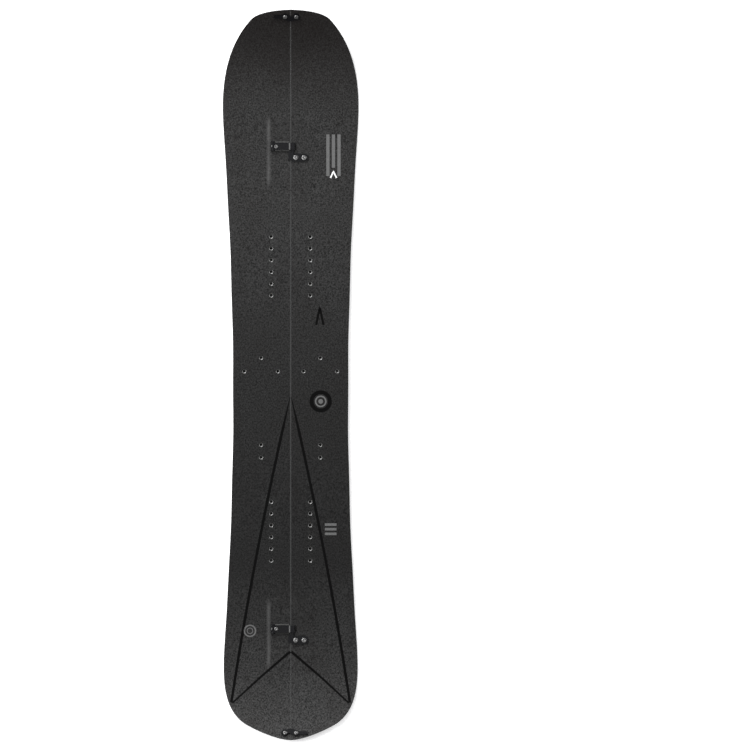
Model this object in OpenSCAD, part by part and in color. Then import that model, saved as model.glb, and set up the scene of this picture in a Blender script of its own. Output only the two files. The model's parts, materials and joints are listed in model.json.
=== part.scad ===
// Splitboard: a snowboard cut lengthwise into two touring skis, closed by two lever clips and two tip
// latches. +Y runs to the nose, +X to the right half and +Z up. The origin is on the floor, below the
// seam at mid-length. Millimetres.

/* [Outline] */
// Length over both tips, measured along the floor
board_l = 1577; // [1450:1:1700]
// Full width at the widest line of the nose
nose_w = 294; // [275:1:315]
// Full width at the widest line of the tail
tail_w = 290; // [270:1:310]
// Full width at the waist
waist_w = 249; // [235:1:262]
// Place of the waist, from mid-length towards the nose
waist_y = -50; // [-90:1:0]
// Distance from the nose tip back to the widest line
nose_reach = 207; // [170:1:240]
// Distance from the tail tip forward to the widest line
tail_reach = 157; // [130:1:190]
// Height of the ripple in the running edge, from its middle to a crest
ripple_h = 0.4; // [0:0.1:1]
// Spacing of the ripple's crests
ripple_pitch = 200; // [150:5:260]

/* [Side profile] */
// Length of the upturned nose
nose_kick_l = 200; // [160:1:240]
// Height of the nose tip's base above the floor
nose_kick_h = 46; // [30:1:60]
// Length of the upturned tail
tail_kick_l = 165; // [140:1:200]
// Height of the tail tip's base above the floor
tail_kick_h = 34; // [22:1:50]
// Height of the arch under the middle of the board
camber_h = 5; // [2:0.5:8]

/* [Layers] */
// Thickness of the running base
base_t = 1.3; // [1:0.1:1.8]
// Thickness of each glass laminate
laminate_t = 0.8; // [0.5:0.1:1.2]
// Thickness of the core between the feet
core_mid_t = 6.9; // [6.5:0.1:8.5]
// Thickness of the spacers at the tips
core_tip_t = 1.8; // [1.4:0.1:3]
// Thickness of the topsheet
topsheet_t = 0.6; // [0.4:0.1:1]
// Width of a steel edge, seen from below
edge_w = 2; // [1.5:0.1:3]
// Width of the sidewall along the outer edge
outer_sidewall_w = 7; // [4:0.5:12]
// Width of the sidewall along the seam
inner_sidewall_w = 5; // [3:0.5:7]
// Length of the spacer that takes the core's place in the nose
nose_spacer_l = 110; // [90:1:150]
// Length of the spacer in the tail
tail_spacer_l = 90; // [70:1:120]
// How far the topsheet stays inside the outer sidewall
topsheet_inset = 0.5; // [0:0.1:1]
// Gap between the closed halves
seam_gap = 0.3; // [0.2:0.1:1]

/* [Inserts] */
// Distance from the rear stance centre to the front one
stance = 573; // [500:1:620]
// Stance centre, from mid-length towards the nose
stance_y = -51; // [-80:1:0]
// Distance between the two columns of binding inserts
insert_column = 84.3; // [78:0.1:90]
// Spacing of the binding inserts along a column
insert_pitch = 25.4; // [25.4:0.1:30]
// Outer diameter of an insert's barrel
insert_d = 9; // [8:0.1:10]
// Thread core diameter of the binding and touring inserts
insert_bore_d = 5; // [4.2:0.1:5.5]
// Length of a binding or touring insert
insert_l = 8; // [7:0.1:8.2]
// Depth of the threaded hole in it
insert_bore_l = 6.5; // [5:0.1:6.8]
// Distance from the seam to the line of touring inserts
touring_x = 64; // [56:0.5:72]
// Distance between the two inserts of the heel bracket's row
touring_row = 72.6; // [60:0.1:78]
// Place of the touring row, from mid-length towards the nose
touring_y = 8; // [0:0.5:20]

/* [Lever clips] */
// Place of the front lever clip, from mid-length towards the nose
front_clip_y = 482; // [450:1:500]
// Place of the rear lever clip, towards the nose
rear_clip_y = -561; // [-580:1:-540]
// Height of the raised pad under a clip
pad_h = 1.2; // [0.8:0.1:2]
// Height of the pad where the clip sits on it
seat_h = 0.5; // [0.3:0.1:0.7]
// Half the pad's length along the board
pad_reach = 78; // [66:1:90]
// Half the seat's length along the board
seat_reach = 30.5; // [28:0.5:36]
// How far the pad reaches from the seam
pad_w = 48; // [46:1:56]
// Distance of each clip plate's centre line from the clip's middle
clip_stagger = 12.3; // [12:0.1:13]
// Width of the lever
lever_w = 15; // [12:0.5:15.5]
// Distance from the seam to the lever's hinge pin
pin_x = 39.5; // [38.5:0.5:41]
// Height of the hinge pin above its seat
pin_z = 5.6; // [5.4:0.1:6.5]
// Diameter of the hinge pin
pin_d = 3; // [2:0.1:3.4]
// Diameter of the clip screws' shanks
clip_screw_d = 5; // [4:0.1:6]

/* [Tip latches] */
// Distance of the tip latch's bolts from the seam
tip_bolt_x = 12; // [11.5:0.1:13]
// Distance from the tip back to the bolts
tip_bolt_y = 14.5; // [13:0.5:17]
// Diameter of the boss that the latch closes on
boss_d = 9; // [8:0.1:9.6]
// Length of the latch's finger tab, from its bolt
tab_l = 25; // [18:1:30]
// Diameter of the tip bolts' shanks
tip_bolt_d = 4; // [3:0.1:5]

/* [Hidden] */
$fn = 48;

LEFT = -1;
RIGHT = 1;
NOSE = 1;
TAIL = -1;

half_l = board_l / 2;
seam_x = seam_gap / 2;
past = 1;              // how far a cutting shape runs past the face it cuts
play = 0.3;            // gap between pieces that move past each other
running_play = 0.05;   // radial clearance of a pin or shoulder in its bore

// ---- Outline ----
// Control points as [share of the half width, share of the reach from the widest line to the tip].
NOSE_FLANK = [[1, 0], [1, 0.515], [0.75, 0.77], [0.58, 0.9]];
NOSE_END = [[0.58, 0.9], [0.447, 1], [0, 1], [0, 1]];
TAIL_FLANK = [[1, 0], [1, 0.32], [0.95, 0.6], [0.695, 0.77]];
TAIL_END = [[0.695, 0.77], [0.634, 0.81], [0.24, 1], [0, 1]];
tip_steps = 8;
side_steps = 14;
ripple_shift = 21;      // from the waist towards the nose to a crest of the ripple
ripple_y = waist_y + ripple_shift;

function bezier(p, t) =
    pow(1 - t, 3) * p[0] + 3 * pow(1 - t, 2) * t * p[1] + 3 * (1 - t) * t * t * p[2] + pow(t, 3) * p[3];

function tip_curve(shares, half_w, reach, end, steps) =
    [for (i = [0 : steps]) let (p = bezier(shares, i / steps))
        [p[0] * half_w, end * (half_l - reach * (1 - p[1]))]];

// The sidecut is an arc that eases out to the widest line, where t is 1.
function sidecut(y, half_w, wide_y) =
    let (t = (y - waist_y) / (wide_y - waist_y))
    waist_w / 2 + (half_w - waist_w / 2) * t * t * (1.125 - 0.125 * pow(t, 16))
    + ripple_h * cos(360 * (y - ripple_y) / ripple_pitch) * (1 - pow(t, 4));

function side_curve(half_w, wide_y) =
    [for (i = [1 : side_steps - 1]) let (y = waist_y + (wide_y - waist_y) * i / side_steps)
        [sidecut(y, half_w, wide_y), y]];

function backwards(v) = [for (i = [len(v) - 1 : -1 : 0]) v[i]];

nose_wide_y = half_l - nose_reach;
tail_wide_y = tail_reach - half_l;
over_all = nose_kick_h + tail_kick_h + 40;   // more than the height of any layer
rim = concat(
    backwards(tip_curve(NOSE_END, nose_w / 2, nose_reach, NOSE, tip_steps)),
    [for (i = [tip_steps - 1 : -1 : 0]) tip_curve(NOSE_FLANK, nose_w / 2, nose_reach, NOSE, tip_steps)[i]],
    backwards(side_curve(nose_w / 2, nose_wide_y)),
    [[sidecut(waist_y, nose_w / 2, nose_wide_y), waist_y]],
    side_curve(tail_w / 2, tail_wide_y),
    tip_curve(TAIL_FLANK, tail_w / 2, tail_reach, TAIL, tip_steps),
    [for (i = [1 : tip_steps]) tip_curve(TAIL_END, tail_w / 2, tail_reach, TAIL, tip_steps)[i]]
);

function unit(v) = v / norm(v);
function mirrored(p) = [-p[0], p[1]];
function rim_before(i) = i == 0 ? mirrored(rim[1]) : rim[i - 1];
function rim_after(i) = i == len(rim) - 1 ? mirrored(rim[i - 1]) : rim[i + 1];
function rim_normal(i) = let (d = unit(rim_after(i) - rim_before(i))) [-d[1], d[0]];

// The right half's plan, moved in from the rim by inset and starting at from_x.
module plan(inset = 0, from_x = seam_x) {
    polygon([for (i = [0 : len(rim) - 1]) let (p = rim[i] - inset * rim_normal(i)) [max(p[0], from_x), p[1]]]);
}

// ---- Side profile ----
kick_steps = 7;
camber_steps = 16;
tip_seat_l = 32;       // length of the flat under a tip latch
pad_ramp = 6;          // length of the slope at a pad's end and at its seat
nose_contact_y = half_l - nose_kick_l;
tail_contact_y = tail_kick_l - half_l;
clip_ys = [front_clip_y, rear_clip_y];

function kick_radius(l, h) = (l * l + h * h) / (2 * h);
nose_r = kick_radius(nose_kick_l, nose_kick_h);
tail_r = kick_radius(tail_kick_l, tail_kick_h);

function base_z(y) =
    y > nose_contact_y ? nose_r - sqrt(nose_r * nose_r - pow(y - nose_contact_y, 2))
    : y < tail_contact_y ? tail_r - sqrt(tail_r * tail_r - pow(tail_contact_y - y, 2))
    : camber_h * pow(sin(180 * (y - tail_contact_y) / (nose_contact_y - tail_contact_y)), 2);

function tilt_cos(y) =
    y > nose_contact_y ? cos(asin((y - nose_contact_y) / nose_r))
    : y < tail_contact_y ? cos(asin((tail_contact_y - y) / tail_r))
    : 1;

// The core is full thickness from the rear foot to the front one and thins towards the spacers.
core_full_front_y = 320;
core_full_rear_y = -420;
function ease(t) = let (u = min(1, max(0, t))) u * u * (3 - 2 * u);
function core_t(y) =
    let (front = (y - core_full_front_y) / (half_l - nose_spacer_l - core_full_front_y))
    let (rear = (core_full_rear_y - y) / (core_full_rear_y + half_l - tail_spacer_l))
    core_mid_t + (core_tip_t - core_mid_t) * ease(max(front, rear));

pad_table = [for (c = backwards(clip_ys)) each [
    [c - pad_reach, 0], [c - pad_reach + pad_ramp, pad_h],
    [c - seat_reach - pad_ramp, pad_h], [c - seat_reach, seat_h],
    [c + seat_reach, seat_h], [c + seat_reach + pad_ramp, pad_h],
    [c + pad_reach - pad_ramp, pad_h], [c + pad_reach, 0]]];

function sorted(v) =
    len(v) < 2 ? v
    : let (p = v[floor(len(v) / 2)])
      concat(sorted([for (x = v) if (x < p) x]), [p], sorted([for (x = v) if (x > p) x]));

function near_clip(y) = abs(y - front_clip_y) < pad_reach || abs(y - rear_clip_y) < pad_reach;
function span(a, b, n) = [for (i = [0 : n]) a + (b - a) * i / n];
plain_ys = concat(
    span(nose_contact_y, half_l - tip_seat_l, kick_steps), [half_l, -half_l],
    span(tail_contact_y, tip_seat_l - half_l, kick_steps),
    [for (y = span(tail_contact_y, nose_contact_y, camber_steps)) if (!near_clip(y)) y],
    [core_full_front_y, core_full_rear_y]
);
seat_free_ys = [for (y = plain_ys)
    if (min([for (c = clip_ys) abs(y - c)]) > seat_reach + pad_ramp) y];
stations = sorted(concat(seat_free_ys, [for (p = pad_table) p[0]]));

// Levels: 0 base bottom, 1 base top, 2 core bottom, 3 core top, 4 upper laminate top, 5 topsheet top.
function stack(level, y) =
    [0, base_t, base_t + laminate_t, base_t + laminate_t + core_t(y),
     base_t + 2 * laminate_t + core_t(y), base_t + 2 * laminate_t + core_t(y) + topsheet_t][level];
level_tables = [for (level = [0 : 5]) [for (y = stations) [y, base_z(y) + stack(level, y) / tilt_cos(y)]]];
function level_z(level, y) = lookup(y, level_tables[level]);
function pad_z(level, y) = level_z(level, y) + lookup(y, pad_table);

// A slab across the board between two rows of heights, from side 0 to side w.
module slab(ys, low, high, w) {
    rotate([90, 0, 90])
        linear_extrude(height = w)
            polygon(concat(
                [for (i = [0 : len(ys) - 1]) [ys[i], low[i]]],
                [for (i = [len(ys) - 1 : -1 : 0]) if (high[i] > low[i]) [ys[i], high[i]]]));
}

function between(y0, y1) = concat([y0], [for (y = stations) if (y > y0 + 0.01 && y < y1 - 0.01) y], [y1]);

module band(low, high, y0 = -half_l, y1 = half_l) {
    ys = between(y0, y1);
    slab(ys, [for (y = ys) level_z(low, y)], [for (y = ys) level_z(high, y)], nose_w);
}

// One layer of a half: a band of the profile cut to the plan that is given as the child.
module layer(side, low, high, y0 = -half_l, y1 = half_l) {
    mirror([side == LEFT ? 1 : 0, 0, 0])
        intersection() {
            translate([0, 0, -past])
                linear_extrude(height = over_all)
                    children();
            band(low, high, y0, y1);
        }
}

// ---- Frames of the clips and latches ----
function seat_pitch(c) =
    atan((pad_z(5, c + seat_reach) - pad_z(5, c - seat_reach)) / (2 * seat_reach));

module at_clip(c) {
    translate([0, c, pad_z(5, c)])
        rotate([seat_pitch(c), 0, 0])
            children();
}

function tip_pitch(end) =
    atan((level_z(5, end * half_l) - level_z(5, end * (half_l - tip_seat_l))) / tip_seat_l);

// At the tail the frame is turned half round, so its left bolt is on the right half.
module at_tip(end) {
    rotate([0, 0, end == NOSE ? 0 : 180])
        translate([0, half_l - tip_bolt_y, level_z(5, end * (half_l - tip_bolt_y))])
            rotate([tip_pitch(end), 0, 0])
                children();
}

// ---- Inserts and their bores ----
insert_flange_d = 18;
insert_flange_t = 1;
clip_insert_d = 8;
clip_insert_l = 5;
lever_screw_xs = [-31, -14];
hook_screw_xs = [11.1, 29.2];
front_foot_y = stance_y + stance / 2;
rear_foot_y = stance_y - stance / 2;
touring_fore_gap = 29;     // from the touring row to the single insert in front of it
touring_heel_gap = 159;    // from the touring row back to the heel rest
touring_heel_pitch = 27.2;
touring_fore_y = touring_y + touring_fore_gap;
touring_heel_y = touring_y - touring_heel_gap;
touring_places = [
    [touring_x, touring_fore_y],
    [touring_x - touring_row / 2, touring_y],
    [touring_x + touring_row / 2, touring_y],
    [touring_x, touring_heel_y],
    [touring_x, touring_heel_y - touring_heel_pitch]
];
binding_places = [for (foot = [front_foot_y, rear_foot_y]) for (row = [-2.5 : 1 : 2.5])
    [insert_column / 2, foot + row * insert_pitch]];

module each_place(side, places) {
    for (p = places)
        translate([side * p[0], p[1], level_z(5, p[1])])
            children();
}

module each_clip_screw(side) {
    for (c = clip_ys)
        at_clip(c)
            for (x = side == LEFT ? lever_screw_xs : hook_screw_xs)
                translate([x, -side * clip_stagger, 0])
                    children();
}

module each_tip_bolt(side) {
    for (end = [NOSE, TAIL])
        at_tip(end)
            translate([side * end * tip_bolt_x, 0, 0])
                children();
}

module insert_bores(side) {
    each_place(side, concat(binding_places, touring_places))
        translate([0, 0, -insert_l])
            cylinder(d = insert_d, h = insert_l + past);
    each_clip_screw(side)
        translate([0, 0, -clip_insert_l])
            cylinder(d = clip_insert_d, h = clip_insert_l + past);
}

module insert_flange_pockets(side) {
    each_place(side, concat(binding_places, touring_places))
        translate([0, 0, -insert_l - past])
            cylinder(d = insert_flange_d, h = insert_flange_t + past);
}

nut_d = 6.4;
nut_flange_d = 8.6;
nut_flange_t = 1.2;
nut_l = 5.15;          // from just under the topsheet's face to just inside the base's
nut_drop = 0.1;

module tip_bores(side) {
    each_tip_bolt(side) {
        translate([0, 0, -nut_l - nut_drop - past])
            cylinder(d = nut_d, h = nut_l + nut_drop + 2 * past);
        translate([0, 0, -nut_l - nut_drop - past])
            cylinder(d = nut_flange_d, h = nut_flange_t + past);
    }
}

module threaded_insert() {
    difference() {
        union() {
            translate([0, 0, -insert_l])
                cylinder(d = insert_d, h = insert_l);
            translate([0, 0, -insert_l])
                cylinder(d = insert_flange_d, h = insert_flange_t);
        }
        translate([0, 0, -insert_bore_l])
            cylinder(d = insert_bore_d, h = insert_bore_l + past);
    }
}

module binding_inserts(side) {
    color("silver")
        each_place(side, binding_places)
            threaded_insert();
}

module touring_inserts(side) {
    color("silver")
        each_place(side, touring_places)
            threaded_insert();
}

clip_screw_l = 4.4;
module clip_inserts(side) {
    color("silver")
        each_clip_screw(side)
            difference() {
                translate([0, 0, -clip_insert_l])
                    cylinder(d = clip_insert_d, h = clip_insert_l);
                translate([0, 0, -clip_screw_l])
                    cylinder(d = clip_screw_d, h = clip_screw_l + past);
            }
}

module tip_nuts(side) {
    color("silver")
        each_tip_bolt(side)
            difference() {
                translate([0, 0, -nut_l - nut_drop]) {
                    cylinder(d = nut_d, h = nut_l);
                    cylinder(d = nut_flange_d, h = nut_flange_t);
                }
                translate([0, 0, -nut_l - nut_drop - past])
                    cylinder(d = tip_bolt_d, h = nut_l + 2 * past);
            }
}

// ---- Layers ----
core_y1 = half_l - nose_spacer_l;
core_y0 = tail_spacer_l - half_l;

module pad_block(side, x0, x1, level) {
    for (c = clip_ys) {
        ys = between(c - pad_reach, c + pad_reach);
        mirror([side == LEFT ? 1 : 0, 0, 0])
            translate([x0, 0, 0])
                slab(ys, [for (y = ys) level_z(4, y)], [for (y = ys) pad_z(level, y)], x1 - x0);
    }
}

module clip_pads(side) {
    color("dimgray")
        difference() {
            pad_block(side, seam_x + topsheet_t, pad_w - topsheet_t, 4);
            insert_bores(side);
        }
}

module topsheet(side) {
    color([0.21, 0.2, 0.2])
        difference() {
            union() {
                layer(side, 4, 5)
                    plan(topsheet_inset);
                pad_block(side, seam_x, pad_w, 5);
            }
            pad_block(side, seam_x + topsheet_t, pad_w - topsheet_t, 4);
            insert_bores(side);
            tip_bores(side);
        }
}

module top_laminate(side) {
    color("olive")
        difference() {
            layer(side, 3, 4)
                plan(topsheet_inset);
            insert_bores(side);
            tip_bores(side);
        }
}

module core(side) {
    color("burlywood")
        difference() {
            layer(side, 2, 3, core_y0, core_y1)
                plan(outer_sidewall_w, seam_x + inner_sidewall_w);
            insert_bores(side);
            insert_flange_pockets(side);
        }
}

module nose_spacer(side) {
    color("dimgray")
        difference() {
            layer(side, 2, 3, core_y1, half_l)
                plan();
            tip_bores(side);
        }
}

module tail_spacer(side) {
    color("dimgray")
        difference() {
            layer(side, 2, 3, -half_l, core_y0)
                plan();
            tip_bores(side);
        }
}

module outer_sidewall(side) {
    color([0.08, 0.08, 0.09])
        layer(side, 2, 3, core_y0, core_y1)
            difference() {
                plan(0, seam_x + inner_sidewall_w);
                plan(outer_sidewall_w, seam_x + inner_sidewall_w - past);
            }
}

module inner_sidewall(side) {
    color([0.08, 0.08, 0.09])
        layer(side, 2, 3, core_y0, core_y1)
            translate([seam_x, -half_l])
                square([inner_sidewall_w, board_l]);
}

module bottom_laminate(side) {
    color("olive")
        difference() {
            layer(side, 1, 2)
                plan(edge_w, seam_x + edge_w);
            tip_bores(side);
        }
}

module base(side) {
    color([0.03, 0.03, 0.03])
        difference() {
            layer(side, 0, 1)
                plan(edge_w, seam_x + edge_w);
            tip_bores(side);
        }
}

module outer_edge(side) {
    color("gray")
        layer(side, 0, 2)
            difference() {
                plan(0, seam_x + edge_w);
                plan(edge_w, seam_x + edge_w - past);
            }
}

module inner_edge(side) {
    color("gray")
        layer(side, 0, 2)
            translate([seam_x, -half_l])
                square([edge_w, board_l]);
}

// ---- Screws ----
head_h = 2.2;
key_d = 3.6;
key_l = 1.3;

// A screw whose head stands on z = 0.
module socket_screw(shank_d, shank_l, head_d) {
    difference() {
        union() {
            cylinder(d = head_d, h = head_h);
            translate([0, 0, -shank_l])
                cylinder(d = shank_d, h = shank_l + head_h / 2);
        }
        translate([0, 0, head_h - key_l])
            cylinder(d = key_d, h = key_l + past, $fn = 6);
    }
}

// ---- Lever clips ----
// In a clip's frame X runs from the seam to the right and z = 0 is the seat.
floor_t = 2;
rail_t = 2.5;
rail_play = 0.5;
clip_out_w = lever_w + 2 * rail_play + 2 * rail_t;
rail_low_h = 4;          // height of a rail at the seam
rail_knee_h = 5.5;       // height of a rail where it starts to rise to its ear
ear_cover = 3;           // metal of an ear above and behind the pin
floor_end_d = 11;        // the floor's round end behind the pin
base_end_x = -3;         // the rails end here, short of the seam
tongue_x = 2;            // the tongue reaches over the seam to here
tongue_w = 16;
tongue_y = 2.6;          // from the clip's middle to the tongue's near side
lever_low = 4.6;
lever_t = 2.8;
lever_chamfer = 1.2;
hub_gap = 0.6;           // between the lever's hub and the floor
hub_r = pin_z - floor_t - hub_gap;
rib_x0 = -3.6;           // the rib across the lever
rib_x1 = -0.8;
rib_h = 0.5;
rib_slope = 0.6;
arm_x0 = 2.5;            // the bar that the lever's tooth holds
arm_x1 = 6.9;
arm_h = lever_low - play;
tooth_x0 = arm_x1 + play;
tooth_x1 = 9.5;
tooth_z = 1.5;
window_d = 10.4;
lever_screw_head_d = 9.5;
hook_screw_head_d = 10.6;
hook_plate_w = 17.7;
hook_plate_t = 3.2;
lap_x = -4.8;            // the lap reaches over the seam from the right to here
lap_y = -17.5;
lap_w = 18.5;

// Draws an x, z outline as a plate of width w, centred on y = 0.
module upright_plate(w) {
    translate([0, w / 2, 0])
        rotate([90, 0, 0])
            linear_extrude(height = w)
                children();
}

module rail() {
    back_x = -pin_x - ear_cover - 0.5;
    polygon([[back_x, 0], [base_end_x, 0], [base_end_x, rail_low_h], [-pin_x + 2 * ear_cover, rail_knee_h],
             [-pin_x + ear_cover, pin_z + ear_cover], [back_x + 1, pin_z + ear_cover],
             [back_x, pin_z + ear_cover / 2]]);
}

module lever_base() {
    difference() {
        union() {
            linear_extrude(height = floor_t) {
                translate([-pin_x, -clip_out_w / 2])
                    square([pin_x + base_end_x, clip_out_w]);
                translate([-pin_x + 1, 0])
                    circle(d = floor_end_d);
            }
            for (s = [-1, 1])
                translate([0, s * (clip_out_w - rail_t) / 2, 0])
                    upright_plate(rail_t)
                        rail();
            translate([base_end_x - past, tongue_y - clip_stagger, play])
                cube([tongue_x - base_end_x + past, tongue_w, floor_t - play]);
        }
        translate([-pin_x, 0, pin_z])
            rotate([90, 0, 0])
                cylinder(d = pin_d, h = clip_out_w + 2 * past, center = true);
        for (x = lever_screw_xs)
            translate([x, 0, -past])
                cylinder(d = clip_screw_d, h = floor_t + 2 * past);
    }
}

module lever_bases() {
    color("gray")
        for (c = clip_ys)
            at_clip(c)
                translate([0, clip_stagger, 0])
                    lever_base();
}

module lever_base_screws() {
    color("silver")
        each_clip_screw(LEFT)
            translate([0, 0, floor_t])
                socket_screw(clip_screw_d, floor_t + clip_screw_l, lever_screw_head_d);
}

module lever_pins() {
    color("silver")
        for (c = clip_ys)
            at_clip(c)
                translate([-pin_x, clip_stagger, pin_z])
                    rotate([90, 0, 0])
                        cylinder(d = pin_d, h = clip_out_w, center = true);
}

module lever_outline() {
    translate([-pin_x, pin_z])
        circle(r = hub_r);
    top = lever_low + lever_t;
    polygon([[-pin_x, lever_low], [tooth_x0, lever_low], [tooth_x0, tooth_z], [tooth_x1, tooth_z],
             [tooth_x1, top - lever_chamfer], [tooth_x1 - lever_chamfer, top],
             [rib_x1, top], [rib_x1 - rib_slope, top + rib_h], [rib_x0 + rib_slope, top + rib_h],
             [rib_x0, top], [-pin_x, top]]);
}

module lever(c) {
    color([0.1, 0.1, 0.12])
        at_clip(c)
            translate([0, clip_stagger, 0])
                difference() {
                    upright_plate(lever_w)
                        lever_outline();
                    translate([-pin_x, 0, pin_z])
                        rotate([90, 0, 0])
                            cylinder(d = pin_d + 2 * running_play, h = lever_w + 2 * past, center = true);
                    translate([lever_screw_xs[0], 0, 0])
                        cylinder(d = window_d, h = pin_z + 10);
                }
}

module hook_plate() {
    round_x = hook_screw_xs[1];
    difference() {
        union() {
            translate([0, -clip_stagger, 0])
                linear_extrude(height = hook_plate_t) {
                    translate([arm_x0, -hook_plate_w / 2])
                        square([round_x - arm_x0, hook_plate_w]);
                    translate([round_x, 0])
                        circle(d = hook_plate_w);
                }
            translate([arm_x0, -clip_stagger, 0])
                cube([arm_x1 - arm_x0, 2 * clip_stagger + lever_w / 2, arm_h]);
            translate([lap_x, lap_y, play])
                cube([arm_x0 - lap_x + past, lap_w, hook_plate_t - play]);
        }
        for (x = hook_screw_xs)
            translate([x, -clip_stagger, -past])
                cylinder(d = clip_screw_d, h = hook_plate_t + 2 * past);
    }
}

module hook_plates() {
    color([0.1, 0.1, 0.12])
        for (c = clip_ys)
            at_clip(c)
                difference() {
                    hook_plate();
                    for (x = hook_screw_xs)
                        translate([x, -clip_stagger, hook_plate_t])
                            cylinder(d = hook_screw_head_d, h = arm_h);
                }
}

module hook_plate_screws() {
    color("silver")
        each_clip_screw(RIGHT)
            translate([0, 0, hook_plate_t])
                socket_screw(clip_screw_d, hook_plate_t + clip_screw_l, hook_screw_head_d);
}

// ---- Tip latches ----
// In a tip's frame X runs from the seam towards the catch, Y towards the tip, and z = 0 is the topsheet.
catch_d = 15;
catch_t = 1.2;
latch_low = catch_t + play;
latch_t = 2.3;
latch_top = latch_low + latch_t;
washer_t = 0.25;
boss_h = latch_top + running_play + washer_t;
shoulder_d = 6;
latch_hub_d = 13;
jaw_in_d = boss_d + 0.5;
jaw_out_d = 17;
jaw_lip_y = 1;           // the jaw is open towards the tip from here
jaw_open_x = 3;          // the cut for it starts this far from the hub
tab_w = 8;
bow_r = 18;              // the bow between hub and jaw
bow_y0 = -10;
bow_y1 = 4;
bow_centre_y = 8;
tip_head_d = 9.3;
tip_bolt_l = 4.6;

module latch_outline() {
    difference() {
        union() {
            translate([-tip_bolt_x, 0])
                circle(d = latch_hub_d);
            translate([-tip_bolt_x - tab_l + tab_w / 2, 0])
                circle(d = tab_w);
            translate([-tip_bolt_x - tab_l + tab_w / 2, -tab_w / 2])
                square([tab_l - tab_w / 2, tab_w]);
            intersection() {
                translate([0, bow_centre_y])
                    circle(r = bow_r);
                translate([-tip_bolt_x, bow_y0])
                    square([2 * tip_bolt_x, bow_y1 - bow_y0]);
            }
            translate([tip_bolt_x, 0])
                circle(d = jaw_out_d);
        }
        translate([tip_bolt_x, 0])
            circle(d = jaw_in_d);
        translate([tip_bolt_x - jaw_in_d / 2, 0])
            square([jaw_in_d, jaw_out_d]);
        translate([-tip_bolt_x + latch_hub_d / 2 + jaw_open_x, jaw_lip_y])
            square([2 * tip_bolt_x + jaw_out_d, jaw_out_d]);
    }
}

module latch() {
    color([0.07, 0.07, 0.08])
        difference() {
            union() {
                translate([0, 0, latch_low])
                    linear_extrude(height = latch_t)
                        latch_outline();
                translate([-tip_bolt_x, 0, play])
                    cylinder(d = latch_hub_d, h = latch_top - play);
            }
            translate([-tip_bolt_x, 0, 0])
                cylinder(d = shoulder_d + 2 * running_play, h = latch_top + past);
        }
}

module catch() {
    color([0.07, 0.07, 0.08])
        translate([tip_bolt_x, 0, 0])
            difference() {
                union() {
                    cylinder(d = catch_d, h = catch_t);
                    cylinder(d = boss_d, h = boss_h);
                }
                translate([0, 0, -past])
                    cylinder(d = tip_bolt_d, h = boss_h + 2 * past);
            }
}

module latch_bolt() {
    color("silver")
        translate([-tip_bolt_x, 0, 0]) {
            translate([0, 0, boss_h])
                socket_screw(tip_bolt_d, boss_h + tip_bolt_l, tip_head_d);
            cylinder(d = shoulder_d, h = boss_h);
        }
}

module catch_bolt() {
    color("silver")
        translate([tip_bolt_x, 0, boss_h])
            socket_screw(tip_bolt_d, boss_h + tip_bolt_l, tip_head_d);
}

module latch_washer() {
    color("silver")
        translate([-tip_bolt_x, 0, boss_h - washer_t])
            difference() {
                cylinder(d = latch_hub_d - 1, h = washer_t);
                translate([0, 0, -past])
                    cylinder(d = shoulder_d, h = washer_t + 2 * past);
            }
}

// ---- The board ----
topsheet(LEFT);  // left_topsheet
topsheet(RIGHT);  // right_topsheet
top_laminate(LEFT);  // left_top_laminate
top_laminate(RIGHT);  // right_top_laminate
core(LEFT);  // left_core
core(RIGHT);  // right_core
nose_spacer(LEFT);  // left_nose_spacer
nose_spacer(RIGHT);  // right_nose_spacer
tail_spacer(LEFT);  // left_tail_spacer
tail_spacer(RIGHT);  // right_tail_spacer
outer_sidewall(LEFT);  // left_outer_sidewall
outer_sidewall(RIGHT);  // right_outer_sidewall
inner_sidewall(LEFT);  // left_inner_sidewall
inner_sidewall(RIGHT);  // right_inner_sidewall
bottom_laminate(LEFT);  // left_bottom_laminate
bottom_laminate(RIGHT);  // right_bottom_laminate
base(LEFT);  // left_base
base(RIGHT);  // right_base
outer_edge(LEFT);  // left_outer_edge
outer_edge(RIGHT);  // right_outer_edge
inner_edge(LEFT);  // left_inner_edge
inner_edge(RIGHT);  // right_inner_edge
clip_pads(LEFT);  // left_clip_pads
clip_pads(RIGHT);  // right_clip_pads
binding_inserts(LEFT);  // left_binding_inserts
binding_inserts(RIGHT);  // right_binding_inserts
touring_inserts(LEFT);  // left_touring_inserts
touring_inserts(RIGHT);  // right_touring_inserts
clip_inserts(LEFT);  // left_clip_inserts
clip_inserts(RIGHT);  // right_clip_inserts
tip_nuts(LEFT);  // left_tip_nuts
tip_nuts(RIGHT);  // right_tip_nuts
lever_bases();
lever_base_screws();
lever_pins();
lever(front_clip_y);  // front_lever
lever(rear_clip_y);  // rear_lever
hook_plates();
hook_plate_screws();
at_tip(NOSE) latch();  // nose_latch
at_tip(TAIL) latch();  // tail_latch
at_tip(NOSE) catch();  // nose_catch
at_tip(TAIL) catch();  // tail_catch
at_tip(NOSE) latch_bolt();  // nose_latch_bolt
at_tip(TAIL) latch_bolt();  // tail_latch_bolt
at_tip(NOSE) catch_bolt();  // nose_catch_bolt
at_tip(TAIL) catch_bolt();  // tail_catch_bolt
at_tip(NOSE) latch_washer();  // nose_latch_washer
at_tip(TAIL) latch_washer();  // tail_latch_washer
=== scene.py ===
"""A splitboard: two laminated halves, joined by two lever clips and two tip latches.

The CAD model is the fixed frame. Its laminate layers, screws and inserts are rebuilt as finer meshes on the
same measures, and its clips and latches are kept with rounded edges. Measures are in millimetres, except
for the stage, which is in metres.
"""

import json
import math

import bmesh
import bpy
import numpy
from mathutils import Matrix, Vector


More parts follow.
